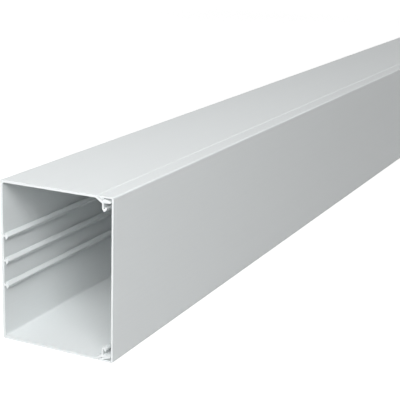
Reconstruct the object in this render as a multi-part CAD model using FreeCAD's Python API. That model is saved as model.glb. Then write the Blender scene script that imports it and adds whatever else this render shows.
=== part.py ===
import FreeCAD, Part
import math
import os

# Wall trunking for cables, in rigid PVC: a U-shaped base and a lid that snaps onto it.
# Both are straight extrusions along Y. The wall face is at -X, the lid is at +X, and the
# trunking lies on one side wall at Z = 0. Millimetres and degrees.

# Overall section and stock length
LENGTH = 2000.0
DEPTH = 100.0
HEIGHT = 130.0

# Wall thicknesses
BASE_WALL = 2.0
LID_PLATE = 1.5
LID_FLANGE = 1.2

# Arrow-headed ribs on the inside of the back wall. LAND is the straight edge of the head.
RIB_COUNT = 3
RIB_PITCH = 20.0
RIB_STEM = 1.4
RIB_NECK = 1.8
RIB_HEAD_WIDTH = 5.6
RIB_HEAD_LAND = 0.6
RIB_HEAD_HEIGHT = 2.4
RIB_NOSE_WIDTH = 0.6

# Clip edge of the base. DEEP is a distance from the lid's face into the trunking, and
# IN is a distance from a side wall's outer face towards the mid-height plane.
STEP_START_DEEP = 14.8
STEP_ANGLE = 32.5
STEP_WALL = 2.0
NOTCH_DEEP = 9.2
BARB_DEEP = 8.2
BARB_IN = 2.0
TONGUE_TIP_DEEP = 2.2
TONGUE_TIP_OUTER_IN = 3.5
TONGUE_TIP_INNER_IN = 5.0
TONGUE_ROOT_INNER_IN = 5.3

# V-shaped hook inside the tongue, which holds cable retainers
HOOK_LEG_DEEP = 9.7
HOOK_WALL = 1.3
HOOK_SLOT = 1.3
HOOK_TIP_IN = 12.6
HOOK_BEND_IN = 9.7
HOOK_PRONG_IN = 8.5

# Snap nose on the lid's flange, and its play in the base's notch
NOSE_IN = 2.6
CLIP_GAP = 0.3

# Edge radii. A full round end keeps a short flat between its two arcs.
OUTER_BACK_RADIUS = 1.2
INNER_BACK_RADIUS = 1.5
LID_CORNER_RADIUS = 1.5
LID_INNER_RADIUS = 0.8
STEP_RADIUS = 1.0
EDGE_RADIUS = 0.3
SOFT_RADIUS = 0.8
RIB_ROOT_RADIUS = 0.4
RIB_EDGE_RADIUS = 0.2
FULL_ROUND_SHARE = 0.96

STEP_SLOPE = math.tan(math.radians(STEP_ANGLE))
STEP_COSINE = math.cos(math.radians(STEP_ANGLE))


def step_in(deep, offset=0.0):
    """How far in the step's outer face lies at a depth, once moved inward by an offset square to it."""
    return (STEP_START_DEEP - deep) * STEP_SLOPE + offset / STEP_COSINE


def step_deep(distance_in, offset=0.0):
    """The depth at which the step's outer face, once moved inward by an offset, lies that far in."""
    return STEP_START_DEEP - (distance_in - offset / STEP_COSINE) / STEP_SLOPE


def catch_deep(distance_in):
    """The depth of the barb's catch face, once moved away from the barb by the clip gap."""
    lean = (NOTCH_DEEP - BARB_DEEP) / (step_in(NOTCH_DEEP) - BARB_IN)
    return BARB_DEEP + (distance_in - BARB_IN) * lean + CLIP_GAP * math.hypot(1.0, lean)


def full_round(width):
    """Radius that rounds an end of this width off almost completely."""
    return FULL_ROUND_SHARE * width / 2


def at_top(corner):
    """Place an edge corner (deep, in, radius) at the upper side wall."""
    deep, distance_in, radius = corner
    return (DEPTH / 2 - deep, HEIGHT - distance_in, radius)


def at_bottom(corner):
    """Place an edge corner (deep, in, radius) at the lower side wall."""
    deep, distance_in, radius = corner
    return (DEPTH / 2 - deep, distance_in, radius)


def both_edges(corners, middle):
    """The corners at the top, a middle stretch, then the same corners mirrored at the bottom."""
    upper = [at_top(corner) for corner in corners]
    lower = [at_bottom(corner) for corner in reversed(corners)]
    return upper + middle + lower


def corner_arc(before, corner, after):
    """Start, middle and end of the arc that rounds one (x, z, radius) corner of an outline."""
    x, z, radius = corner
    here = FreeCAD.Vector(x, 0, z)
    backward = (FreeCAD.Vector(before[0], 0, before[1]) - here).normalize()
    forward = (FreeCAD.Vector(after[0], 0, after[1]) - here).normalize()
    half_angle = backward.getAngle(forward) / 2
    inward = (backward + forward).normalize()
    reach = radius / math.tan(half_angle)
    cut = radius / math.sin(half_angle) - radius
    return (here + backward * reach, here + inward * cut, here + forward * reach)


def rounded_outline(corners):
    """Closed wire of straight runs through (x, z, radius) corners, each rounded by its radius."""
    following = corners[1:] + corners[:1]
    arcs = [corner_arc(corners[i - 1], corner, following[i]) for i, corner in enumerate(corners)]
    edges = []
    for i, (start, middle, end) in enumerate(arcs):
        edges.append(Part.LineSegment(arcs[i - 1][-1], start).toShape())
        edges.append(Part.Arc(start, middle, end).toShape())
    return Part.Wire(edges)


def extrusion(corners):
    """A straight length of profile, centred on the mid-length plane."""
    face = Part.Face(rounded_outline(corners))
    face.translate(FreeCAD.Vector(0, -LENGTH / 2, 0))
    return face.extrude(FreeCAD.Vector(0, LENGTH, 0))


def clip_edge():
    """The base's clip edge, from the side wall's outer face round the tongue and hook to its inner face."""
    tongue_tip = full_round(TONGUE_TIP_INNER_IN - TONGUE_TIP_OUTER_IN)
    leg_inner = HOOK_LEG_DEEP - HOOK_WALL
    prong_inner = leg_inner - HOOK_SLOT
    prong_outer = prong_inner - HOOK_WALL
    prong_tip = full_round(HOOK_WALL)
    hook_middle = (HOOK_LEG_DEEP + prong_outer) / 2
    hook_slope = (HOOK_TIP_IN - HOOK_BEND_IN) / (HOOK_LEG_DEEP - hook_middle)
    slot_tip_in = HOOK_TIP_IN - HOOK_WALL * math.hypot(1.0, hook_slope)
    slot_bend_in = slot_tip_in - hook_slope * HOOK_SLOT / 2
    return [
        (STEP_START_DEEP, 0.0, STEP_RADIUS),
        (NOTCH_DEEP, step_in(NOTCH_DEEP), EDGE_RADIUS),
        (BARB_DEEP, BARB_IN, EDGE_RADIUS),
        (TONGUE_TIP_DEEP, TONGUE_TIP_OUTER_IN, tongue_tip),
        (TONGUE_TIP_DEEP, TONGUE_TIP_INNER_IN, tongue_tip),
        (leg_inner, TONGUE_ROOT_INNER_IN, EDGE_RADIUS),
        (leg_inner, slot_bend_in, EDGE_RADIUS),
        (hook_middle, slot_tip_in, EDGE_RADIUS),
        (prong_inner, slot_bend_in, EDGE_RADIUS),
        (prong_inner, HOOK_PRONG_IN, prong_tip),
        (prong_outer, HOOK_PRONG_IN, prong_tip),
        (prong_outer, HOOK_BEND_IN, SOFT_RADIUS),
        (hook_middle, HOOK_TIP_IN, SOFT_RADIUS),
        (HOOK_LEG_DEEP, HOOK_BEND_IN, SOFT_RADIUS),
        (HOOK_LEG_DEEP, step_in(HOOK_LEG_DEEP, STEP_WALL), SOFT_RADIUS),
        (step_deep(BASE_WALL, STEP_WALL), BASE_WALL, SOFT_RADIUS),
    ]


def rib(height):
    """One arrow-headed rib on the back wall's inner face, from its upper root to its lower root."""
    wall = BASE_WALL - DEPTH / 2
    neck = wall + RIB_NECK
    upper = [
        (wall, height + RIB_STEM / 2, RIB_ROOT_RADIUS),
        (neck, height + RIB_STEM / 2, RIB_EDGE_RADIUS),
        (neck, height + RIB_HEAD_WIDTH / 2, RIB_EDGE_RADIUS),
        (neck + RIB_HEAD_LAND, height + RIB_HEAD_WIDTH / 2, RIB_EDGE_RADIUS),
        (neck + RIB_HEAD_HEIGHT, height + RIB_NOSE_WIDTH / 2, RIB_EDGE_RADIUS),
    ]
    lower = [(x, 2 * height - z, radius) for x, z, radius in reversed(upper)]
    return upper + lower


def lid_edge():
    """One edge of the lid, from the face's corner round the flange and its nose to the plate's inside."""
    return [
        (0.0, 0.0, LID_CORNER_RADIUS),
        (step_deep(0.0, -CLIP_GAP), 0.0, EDGE_RADIUS),
        (step_deep(NOSE_IN, -CLIP_GAP), NOSE_IN, EDGE_RADIUS),
        (catch_deep(NOSE_IN), NOSE_IN, EDGE_RADIUS),
        (catch_deep(LID_FLANGE), LID_FLANGE, EDGE_RADIUS),
        (LID_PLATE, LID_FLANGE, LID_INNER_RADIUS),
    ]


def trunking_base():
    """Back wall with its ribs, two side walls and their clip edges, as one profile."""
    inner_back = BASE_WALL - DEPTH / 2
    top_rib = HEIGHT / 2 + RIB_PITCH * (RIB_COUNT - 1) / 2
    back_inside = [(inner_back, HEIGHT - BASE_WALL, INNER_BACK_RADIUS)]
    for number in range(RIB_COUNT):
        back_inside += rib(top_rib - number * RIB_PITCH)
    back_inside += [(inner_back, BASE_WALL, INNER_BACK_RADIUS)]
    back_outside = [
        (-DEPTH / 2, 0.0, OUTER_BACK_RADIUS),
        (-DEPTH / 2, HEIGHT, OUTER_BACK_RADIUS),
    ]
    return extrusion(both_edges(clip_edge(), back_inside) + back_outside)


def trunking_lid():
    """Flat plate with two flanges, whose noses lie behind the base's barbs."""
    return extrusion(both_edges(lid_edge(), []))


os.makedirs("parts", exist_ok=True)
for name, solid in (("trunking_base", trunking_base()), ("trunking_lid", trunking_lid())):
    print(name, "valid", solid.isValid(), "volume", round(solid.Volume), "mm3", solid.BoundBox)
    solid.exportStep("parts/" + name + ".step")
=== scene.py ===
import math

import bpy
from mathutils import Matrix, Vector


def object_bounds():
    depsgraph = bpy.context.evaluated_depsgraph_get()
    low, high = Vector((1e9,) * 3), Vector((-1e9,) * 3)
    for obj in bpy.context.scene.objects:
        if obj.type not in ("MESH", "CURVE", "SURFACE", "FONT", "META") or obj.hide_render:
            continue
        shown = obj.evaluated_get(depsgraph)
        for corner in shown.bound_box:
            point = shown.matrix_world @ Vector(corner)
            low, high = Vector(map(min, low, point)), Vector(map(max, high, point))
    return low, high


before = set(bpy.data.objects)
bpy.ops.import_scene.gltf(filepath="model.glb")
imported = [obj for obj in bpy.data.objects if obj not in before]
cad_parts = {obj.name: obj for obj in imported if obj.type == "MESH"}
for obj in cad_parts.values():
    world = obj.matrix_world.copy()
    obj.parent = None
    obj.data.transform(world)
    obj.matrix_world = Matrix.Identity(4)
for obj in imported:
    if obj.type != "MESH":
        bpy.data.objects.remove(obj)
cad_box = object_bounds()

# Lengths are metres and angles degrees, except where a heading says otherwise. The trunking
# runs along Y. The cut end that faces the camera is at the low end of Y, the lid is at +X and
# the floor is at Z = 0. An azimuth turns from -Y towards +X, and an elevation rises from the
# floor.

# Camera, as the photograph was taken. The lens and the sensor are in millimetres.
CAMERA_PLACE = (0.4280, -1.6474, 0.3389)
CAMERA_AZIMUTH = 25.50
CAMERA_ELEVATION = 15.60
CAMERA_ROLL = 1.68
CAMERA_LENS = 96.55
SENSOR_WIDTH = 36.0
CLIP_RANGE = (0.01, 200.0)

# Rigid PVC: its colour, a darker colour that paints shade on the sawn ends facing the lamps, and how
# far streaks shade the colour
PVC_COLOUR = (0.737, 0.766, 0.771)
SAWN_PAINTED_SHADE_COLOUR = (0.597, 0.620, 0.625)
STREAK_SHADE = 0.97
PVC_IOR = 1.54
PVC_ROUGHNESS = (0.40, 0.52)
SAWN_ROUGHNESS = 0.60

# Extrusion lines: their usual width across the section and their length along it
LINE_WIDTH = 0.0011
FINE_LINE_WIDTH = 0.0003
LINE_LENGTH = 0.8
LINE_RELIEF = 0.000008
NOISE_DETAIL = 3.0

# Saw marks: arcs of the blade about a point beside the section, on faces that look along the
# length at least this squarely. The ring texture turns by the ring phase, in radians, per unit.
SAWN_FACING = 0.9
SAW_CENTRE = (-0.16, 0.0, -0.08)
SAW_MARK_PITCH = 0.00045
SAW_MARK_WANDER = 6.0
SAW_RELIEF = 0.00001
RING_PHASE = 20.0

# Stage. The floor's glow is its white for the camera: near the trunking it leaves room for a
# shadow, and farther out it is full white.
FLOOR_SIZE = 60.0
FLOOR_BOUNCE = 0.40
FLOOR_SHADOW_SHARE = 0.35
NEAR_GLOW = 0.85
FULL_WHITE = 1.0
GLOW_RADII = (1.6, 3.2)
WORLD_STRENGTH = 0.150

# Lamps. Each shines on a point along the trunking, 0 at the near end and 1 at the far end, and
# stands at these angles and this distance from it. Size is width and height, and power is in
# watts. A lamp's beam spreads fully and the PVC reflects it, unless the lamp says otherwise.
FULL_SPREAD = 180
LAMPS = {
    "key": {"along": 0.0, "azimuth": 33, "elevation": 40, "distance": 1.8,
            "size": (1.3, 0.8), "power": 28.4, "sheen": False},
    "top": {"along": 0.0, "azimuth": 0, "elevation": 70, "distance": 2.2,
            "size": (1.5, 1.5), "power": 8.6},
    "front": {"along": 0.0, "azimuth": 5, "elevation": 20, "distance": 1.8,
              "size": (0.8, 0.8), "power": 21.7, "sheen": False},
    "rim": {"along": 0.5, "azimuth": 163, "elevation": 32, "distance": 8.0,
            "size": (1.4, 1.4), "power": 93},
    "lid": {"along": 1.0, "azimuth": 100, "elevation": 20, "distance": 1.8,
            "size": (1.2, 1.2), "power": 2.2, "spread": 60},
    "wall": {"along": 0.5, "azimuth": -90, "elevation": 1, "distance": 2.0,
             "size": (2.4, 0.3), "power": 18},
    "far_end": {"along": 1.0, "azimuth": 195, "elevation": 0, "distance": 2.0,
                "size": (0.5, 0.12), "power": 15},
}


def opaque(colour):
    """A shader's colour value, with no transparency."""
    return (*colour, 1.0)


def grey(level):
    """A shader's colour value for an even grey."""
    return opaque((level, level, level))


def add_node(tree, kind, **values):
    """A shader node of this kind, with its attributes or constant inputs set by name."""
    node = tree.nodes.new(kind)
    for name, value in values.items():
        if hasattr(node, name):
            setattr(node, name, value)
        else:
            node.inputs[name.replace("_", " ")].default_value = value
    return node


def new_material(name):
    """An empty node material and its tree."""
    material = bpy.data.materials.new(name)
    material.use_nodes = True
    material.node_tree.nodes.clear()
    return material, material.node_tree


def background_rays(tree):
    """1 for camera, glossy and transmission rays, which show the background as white, else 0."""
    path = add_node(tree, "ShaderNodeLightPath")
    either = add_node(tree, "ShaderNodeMath", operation="MAXIMUM")
    tree.links.new(path.outputs["Is Camera Ray"], either.inputs[0])
    tree.links.new(path.outputs["Is Glossy Ray"], either.inputs[1])
    any_of = add_node(tree, "ShaderNodeMath", operation="MAXIMUM")
    tree.links.new(either.outputs[0], any_of.inputs[0])
    tree.links.new(path.outputs["Is Transmission Ray"], any_of.inputs[1])
    return any_of.outputs[0]


def drawn_lines(tree, places, width):
    """Noise that is as fine as this width across the section and drawn out along the length."""
    scale = (1 / width, 1 / LINE_LENGTH, 1 / width)
    drawn = add_node(tree, "ShaderNodeMapping", Scale=scale)
    tree.links.new(places.outputs["Object"], drawn.inputs["Vector"])
    lines = add_node(tree, "ShaderNodeTexNoise", Scale=1.0, Detail=NOISE_DETAIL)
    tree.links.new(drawn.outputs[0], lines.inputs["Vector"])
    return lines.outputs[0]


def sawn_faces(tree, places):
    """1 on the faces square to the length, which are sawn, else 0."""
    normal = add_node(tree, "ShaderNodeSeparateXYZ")
    tree.links.new(places.outputs["Normal"], normal.inputs[0])
    facing = add_node(tree, "ShaderNodeMath", operation="ABSOLUTE")
    tree.links.new(normal.outputs["Y"], facing.inputs[0])
    sawn = add_node(tree, "ShaderNodeMath", operation="GREATER_THAN")
    sawn.inputs[1].default_value = SAWN_FACING
    tree.links.new(facing.outputs[0], sawn.inputs[0])
    return sawn.outputs[0]


def saw_marks(tree, places):
    """Fine arcs that a saw blade leaves across an end."""
    away = tuple(-value for value in SAW_CENTRE)
    moved = add_node(tree, "ShaderNodeMapping", Location=away)
    tree.links.new(places.outputs["Object"], moved.inputs["Vector"])
    arcs = add_node(tree, "ShaderNodeTexWave", wave_type="RINGS", rings_direction="Y")
    arcs.inputs["Scale"].default_value = 2 * math.pi / (RING_PHASE * SAW_MARK_PITCH)
    arcs.inputs["Distortion"].default_value = SAW_MARK_WANDER
    arcs.inputs["Detail"].default_value = NOISE_DETAIL
    tree.links.new(moved.outputs[0], arcs.inputs["Vector"])
    return arcs.outputs["Fac"]


def mixed(tree, kind, factor, first, second):
    """First where the factor is 0 and second where it is 1. Each is a socket or a constant."""
    mix = add_node(tree, "ShaderNodeMix", data_type=kind)
    sockets = {socket.identifier: socket for socket in mix.inputs}
    ending = {"RGBA": "Color", "FLOAT": "Float"}[kind]
    tree.links.new(factor, sockets["Factor_Float"])
    for letter, value in (("A", first), ("B", second)):
        socket = sockets[letter + "_" + ending]
        if isinstance(value, bpy.types.NodeSocket):
            tree.links.new(value, socket)
        else:
            socket.default_value = value
    results = {socket.identifier: socket for socket in mix.outputs}
    return results["Result_" + ending]


def pvc_material(name):
    """Light grey rigid PVC: faint extrusion lines along the length, and rougher sawn ends whose
    darker colour is painted shade.
    """
    material, tree = new_material(name)
    links = tree.links
    shader = add_node(tree, "ShaderNodeBsdfPrincipled", IOR=PVC_IOR)
    output = add_node(tree, "ShaderNodeOutputMaterial")
    links.new(shader.outputs[0], output.inputs[0])
    places = add_node(tree, "ShaderNodeTexCoord")
    lines = drawn_lines(tree, places, LINE_WIDTH)
    fine_lines = drawn_lines(tree, places, FINE_LINE_WIDTH)
    sawn = sawn_faces(tree, places)
    marks = saw_marks(tree, places)

    streak_colour = tuple(channel * STREAK_SHADE for channel in PVC_COLOUR)
    drawn_colour = mixed(tree, "RGBA", lines, opaque(streak_colour), opaque(PVC_COLOUR))
    # On the sawn ends the colour is darkened to paint shade, because those faces meet the lamps
    # squarely
    colour = mixed(tree, "RGBA", sawn, drawn_colour, opaque(SAWN_PAINTED_SHADE_COLOUR))
    links.new(colour, shader.inputs["Base Color"])

    smoothest, roughest = PVC_ROUGHNESS
    drawn_roughness = mixed(tree, "FLOAT", fine_lines, smoothest, roughest)
    roughness = mixed(tree, "FLOAT", sawn, drawn_roughness, SAWN_ROUGHNESS)
    links.new(roughness, shader.inputs["Roughness"])

    line_bump = add_node(tree, "ShaderNodeBump", Distance=LINE_RELIEF)
    links.new(fine_lines, line_bump.inputs["Height"])
    saw_bump = add_node(tree, "ShaderNodeBump", Distance=SAW_RELIEF)
    links.new(sawn, saw_bump.inputs["Strength"])
    links.new(marks, saw_bump.inputs["Height"])
    links.new(line_bump.outputs[0], saw_bump.inputs["Normal"])
    links.new(saw_bump.outputs[0], shader.inputs["Normal"])
    return material


def floor_glow(tree):
    """The floor's white for the camera, which grows from near the trunking outwards."""
    point = add_node(tree, "ShaderNodeNewGeometry")
    radius = add_node(tree, "ShaderNodeVectorMath", operation="LENGTH")
    tree.links.new(point.outputs["Position"], radius.inputs[0])
    inner, outer = GLOW_RADII
    level = add_node(tree, "ShaderNodeMapRange", interpolation_type="SMOOTHSTEP")
    level.inputs["From Min"].default_value = inner
    level.inputs["From Max"].default_value = outer
    level.inputs["To Min"].default_value = NEAR_GLOW
    level.inputs["To Max"].default_value = FULL_WHITE
    tree.links.new(radius.outputs["Value"], level.inputs["Value"])
    return level.outputs[0]


def floor_material():
    """White floor that takes the object's shadow, and shows as white to the camera."""
    material, tree = new_material("studio_floor")
    links = tree.links
    bounce = add_node(tree, "ShaderNodeBsdfDiffuse", Color=grey(FLOOR_BOUNCE))
    shadow = add_node(tree, "ShaderNodeBsdfDiffuse", Color=grey(FLOOR_SHADOW_SHARE))
    glow = add_node(tree, "ShaderNodeEmission")
    links.new(floor_glow(tree), glow.inputs["Strength"])
    shown = add_node(tree, "ShaderNodeAddShader")
    links.new(shadow.outputs[0], shown.inputs[0])
    links.new(glow.outputs[0], shown.inputs[1])
    choice = add_node(tree, "ShaderNodeMixShader")
    links.new(background_rays(tree), choice.inputs[0])
    links.new(bounce.outputs[0], choice.inputs[1])
    links.new(shown.outputs[0], choice.inputs[2])
    output = add_node(tree, "ShaderNodeOutputMaterial")
    links.new(choice.outputs[0], output.inputs[0])
    return material


def build_floor():
    """One large floor at the trunking's underside."""
    half = FLOOR_SIZE / 2
    mesh = bpy.data.meshes.new("floor")
    corners = [(-half, -half, 0), (half, -half, 0), (half, half, 0), (-half, half, 0)]
    mesh.from_pydata(corners, [], [(0, 1, 2, 3)])
    floor = bpy.data.objects.new("floor", mesh)
    mesh.materials.append(floor_material())
    bpy.context.collection.objects.link(floor)


def build_world():
    """Even white surroundings, shown to the camera as plain white."""
    world = bpy.data.worlds.new("studio")
    bpy.context.scene.world = world
    world.use_nodes = True
    tree = world.node_tree
    tree.nodes.clear()
    level = add_node(tree, "ShaderNodeMapRange")
    level.inputs["To Min"].default_value = WORLD_STRENGTH
    level.inputs["To Max"].default_value = FULL_WHITE
    tree.links.new(background_rays(tree), level.inputs["Value"])
    surroundings = add_node(tree, "ShaderNodeBackground")
    tree.links.new(level.outputs[0], surroundings.inputs["Strength"])
    output = add_node(tree, "ShaderNodeOutputWorld")
    tree.links.new(surroundings.outputs[0], output.inputs[0])


def axis_point(along):
    """A point on the trunking's middle line, at a share of its length from the near end."""
    lowest, highest = (Vector(corner) for corner in cad_box)
    point = (lowest + highest) / 2
    point.y = lowest.y + along * (highest.y - lowest.y)
    return point


def add_lamp(name, along, azimuth, elevation, distance, size, power, spread=FULL_SPREAD, sheen=True):
    """A soft lamp that stands at these angles from a point on the trunking and shines on it."""
    turn, rise = math.radians(azimuth), math.radians(elevation)
    horizontal = Vector((math.sin(turn), -math.cos(turn), 0.0))
    towards_lamp = horizontal * math.cos(rise) + Vector((0.0, 0.0, math.sin(rise)))
    lamp = bpy.data.lights.new(name, "AREA")
    lamp.shape = "RECTANGLE"
    lamp.size, lamp.size_y = size
    lamp.spread = math.radians(spread)
    lamp.energy = power
    holder = bpy.data.objects.new(name, lamp)
    holder.visible_glossy = sheen
    holder.location = axis_point(along) + towards_lamp * distance
    holder.rotation_euler = (-towards_lamp).to_track_quat("-Z", "Y").to_euler()
    bpy.context.collection.objects.link(holder)


def build_camera():
    """Camera at the photograph's place and angle."""
    data = bpy.data.cameras.new("camera")
    data.lens = CAMERA_LENS
    data.sensor_width = SENSOR_WIDTH
    data.clip_start, data.clip_end = CLIP_RANGE
    camera = bpy.data.objects.new("camera", data)
    turn = Matrix.Rotation(math.radians(CAMERA_AZIMUTH), 4, "Z")
    tilt = Matrix.Rotation(math.pi / 2 - math.radians(CAMERA_ELEVATION), 4, "X")
    roll = Matrix.Rotation(math.radians(CAMERA_ROLL), 4, "Z")
    camera.matrix_world = Matrix.Translation(CAMERA_PLACE) @ turn @ tilt @ roll
    bpy.context.collection.objects.link(camera)
    bpy.context.scene.camera = camera


bpy.context.scene.view_settings.view_transform = "Standard"

pvc = pvc_material("rigid_pvc")
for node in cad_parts.values():
    for slot in node.material_slots:
        slot.material = pvc

build_floor()
build_world()
for lamp_name, lamp_values in LAMPS.items():
    add_lamp(lamp_name, **lamp_values)
build_camera()
